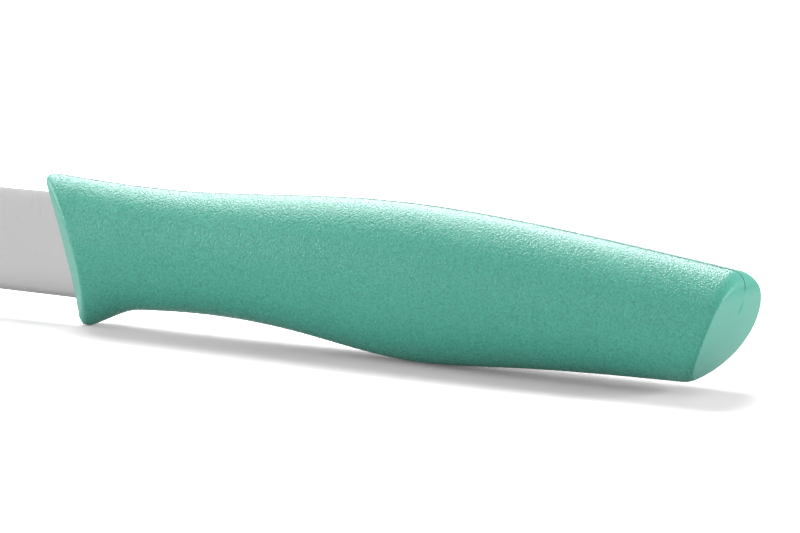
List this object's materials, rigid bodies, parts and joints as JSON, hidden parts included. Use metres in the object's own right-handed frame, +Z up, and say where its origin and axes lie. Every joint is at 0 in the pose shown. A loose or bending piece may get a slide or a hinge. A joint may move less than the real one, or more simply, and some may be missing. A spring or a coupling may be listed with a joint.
{
  "type": "paring knife",
  "caption": "Small paring knife: a straight-spined steel blade with a spear tip, moulded into a contoured plastic handle with a hooked guard.",
  "frame": {"origin": "on the table under the knife as it stands on the guard's tip and the handle's belly, in the blade's middle plane, midway between the tip of the blade and the butt", "axes": "+X from the tip of the blade to the butt, +Y across the blade, to the right as the knife is held with its tip pointing away, +Z up from the cutting edge to the spine"},
  "size_m": [0.1914, 0.0156, 0.0211],
  "materials": {
    "blade_steel": "fine satin, ground across the blade, with a brighter polished cutting bevel",
    "handle_plastic": "mint green polypropylene with a fine eroded grain, smooth on the front facets and the butt"
  },
  "bodies": {
    "root": {"blade": "blade_steel", "handle": "handle_plastic"}
  },
  "joints": []
}
